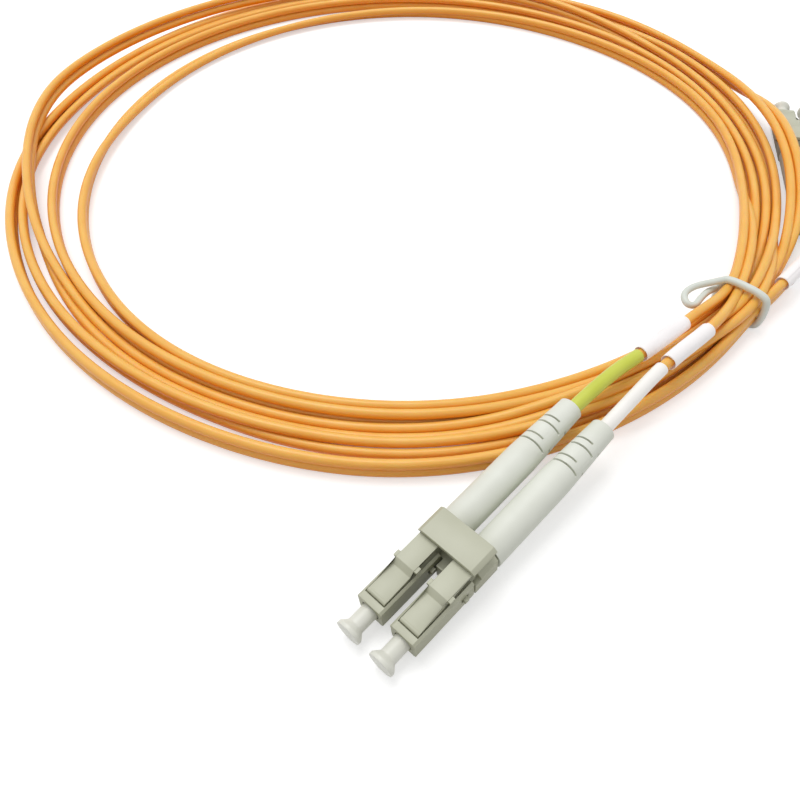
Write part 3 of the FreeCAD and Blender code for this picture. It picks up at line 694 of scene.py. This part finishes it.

# %% [markdown]
# A second colour is mixed in by how far the surface turns away from above, and it paints shade on the sides: tops
# look paler and sides darker, as light from above would leave them. On the jacket this side colour is a deeper
# orange. It is partly painted shade and partly the saturated colour of light that passes through a soft jacket. On
# the beige and white mouldings it is painted shade alone. Scattered light could give part of that by itself, but a
# painted colour is easier to match.

# %% How a finish is made
SHADE_FADE_FROM = -0.3
SHADE_FADE_TO = 0.95
TONE_LOW = 0.3
TONE_HIGH = 0.7
GLOSS_SPREAD = 0.08
RELIEF_DEPTH = 0.02 * MM


def painted_side_shade(tree, top, side):
    """The colour of the top, fading to a painted shade colour where the surface turns away from above."""
    surface = tree.nodes.new("ShaderNodeNewGeometry")
    upright = tree.nodes.new("ShaderNodeSeparateXYZ")
    tree.links.new(surface.outputs["Normal"], upright.inputs["Vector"])
    fade = tree.nodes.new("ShaderNodeMapRange")
    fade.inputs["From Min"].default_value = SHADE_FADE_FROM
    fade.inputs["From Max"].default_value = SHADE_FADE_TO
    tree.links.new(upright.outputs["Z"], fade.inputs["Value"])
    blend = tree.nodes.new("ShaderNodeMix")
    blend.data_type = "RGBA"
    tree.links.new(fade.outputs["Result"], blend.inputs["Factor"])
    blend.inputs["A"].default_value = side
    tree.links.new(top, blend.inputs["B"])
    return blend.outputs["Result"]


def grained(name, pale, deep, rough, bump, side=None, grain_scale=6000.0, drift_scale=180.0, **settings):
    """A finish whose colour drifts between pale and deep, with painted shade on its sides where a side colour is
    given, and whose gloss and surface vary with the grain.
    """
    material = bpy.data.materials.new(name)
    material.use_nodes = True
    tree = material.node_tree
    shader = tree.nodes["Principled BSDF"]
    texture = tree.nodes.new("ShaderNodeGroup")
    texture.node_tree = grain
    texture.inputs["Grain Scale"].default_value = grain_scale
    texture.inputs["Drift Scale"].default_value = drift_scale
    tone = tree.nodes.new("ShaderNodeValToRGB")
    tone.color_ramp.elements[0].position = TONE_LOW
    tone.color_ramp.elements[0].color = deep
    tone.color_ramp.elements[1].position = TONE_HIGH
    tone.color_ramp.elements[1].color = pale
    tree.links.new(texture.outputs["Drift"], tone.inputs["Fac"])
    shown = tone.outputs["Color"]
    # Painted shade: where a side colour is given, faces that turn away from above take it.
    if side:
        shown = painted_side_shade(tree, shown, side)
    tree.links.new(shown, shader.inputs["Base Color"])
    gloss = tree.nodes.new("ShaderNodeMapRange")
    gloss.inputs["To Min"].default_value = rough - GLOSS_SPREAD
    gloss.inputs["To Max"].default_value = rough + GLOSS_SPREAD
    tree.links.new(texture.outputs["Grain"], gloss.inputs["Value"])
    tree.links.new(gloss.outputs["Result"], shader.inputs["Roughness"])
    relief = tree.nodes.new("ShaderNodeBump")
    relief.inputs["Strength"].default_value = bump
    relief.inputs["Distance"].default_value = RELIEF_DEPTH
    tree.links.new(texture.outputs["Grain"], relief.inputs["Height"])
    tree.links.new(relief.outputs["Normal"], shader.inputs["Normal"])
    for socket, value in settings.items():
        shader.inputs[socket.replace("_", " ")].default_value = value
    return material


# The jacket's deeper orange side colour is painted shade, and partly the colour of light passing through the jacket.
jacket = grained("orange_jacket", colour(248, 192, 94), colour(244, 184, 82), 0.36, 0.25, side=colour(240, 150, 8),
                 Subsurface_Weight=0.35, Subsurface_Scale=0.0012, Subsurface_Radius=(1.0, 0.45, 0.08))
print("first finish", jacket.name)

# %% [markdown]
# The other finishes differ in colour, in how rough they are and in whether they are metal. White film and white tube
# are given a weak glow of their own, painted light that makes them look whiter than paint under the same light.

# %% The other finishes
# Painted light: a weak glow of their own on the white film and the white tube.
PAINTED_GLOW = {"Emission_Color": (1.0, 0.98, 0.97, 1.0), "Emission_Strength": 0.09}
finishes = {
    "cord_jacket": jacket,
    # The side colours of the beige plastic and the white vinyl are painted shade on their sides.
    "plug_plastic": grained("beige_plastic", colour(196, 197, 176), colour(188, 189, 167), 0.45, 0.3,
                            side=colour(158, 158, 130)),
    "boot_vinyl": grained("white_vinyl", colour(234, 236, 226), colour(227, 229, 218), 0.5, 0.25,
                          side=colour(216, 219, 204)),
    "cap_plastic": grained("white_cap", colour(232, 232, 222), colour(224, 224, 212), 0.4, 0.2),
    "lime_sleeve": grained("lime_tube", colour(214, 220, 92), colour(204, 212, 74), 0.38, 0.2),
    "white_sleeve": grained("white_tube", colour(248, 245, 240), colour(240, 237, 232), 0.38, 0.2, **PAINTED_GLOW),
    "label_film": grained("label_film", colour(250, 246, 246), colour(242, 238, 238), 0.5, 0.2, **PAINTED_GLOW),
    "tie_plastic": grained("tie_plastic", colour(230, 235, 228), colour(220, 225, 216), 0.42, 0.2),
    "ceramic": grained("white_ceramic", colour(244, 243, 238), colour(236, 234, 228), 0.22, 0.1),
    "plated_brass": grained("nickel_plate", colour(205, 200, 188), colour(186, 180, 166), 0.3, 0.2, Metallic=1.0),
    "spring_steel": grained("spring_wire", colour(190, 192, 194), colour(168, 170, 172), 0.32, 0.2, Metallic=1.0),
    "fibre_buffer": grained("fibre_coat", colour(240, 236, 220), colour(228, 222, 204), 0.4, 0.2),
}
print(len(finishes), "finishes")

# %% [markdown]
# Each piece made here carries the name of its slot, so one loop paints them all. The pieces inside the plugs are
# still the CAD's own, because little of them shows, and they are painted by name.

# %% Give every piece its finish
slot_of_node = {"ferrule": "ceramic", "ferrule_flange": "plated_brass", "rear_body": "plug_plastic",
                "crimp_sleeve": "plated_brass", "fibre": "fibre_buffer"}
for piece in bpy.data.objects:
    if "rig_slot" in piece and piece.type in {"MESH", "CURVE"}:
        piece.data.materials.clear()
        piece.data.materials.append(finishes[piece["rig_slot"]])
painted = 0
for plug in plugs:
    for part, slot in slot_of_node.items():
        node = nodes[f"plug_{plug}_{part}"]
        node.material_slots[0].material = finishes[slot]
        painted += 1
print(painted, "CAD nodes painted")

# %% Cord facts
print("two strands made")
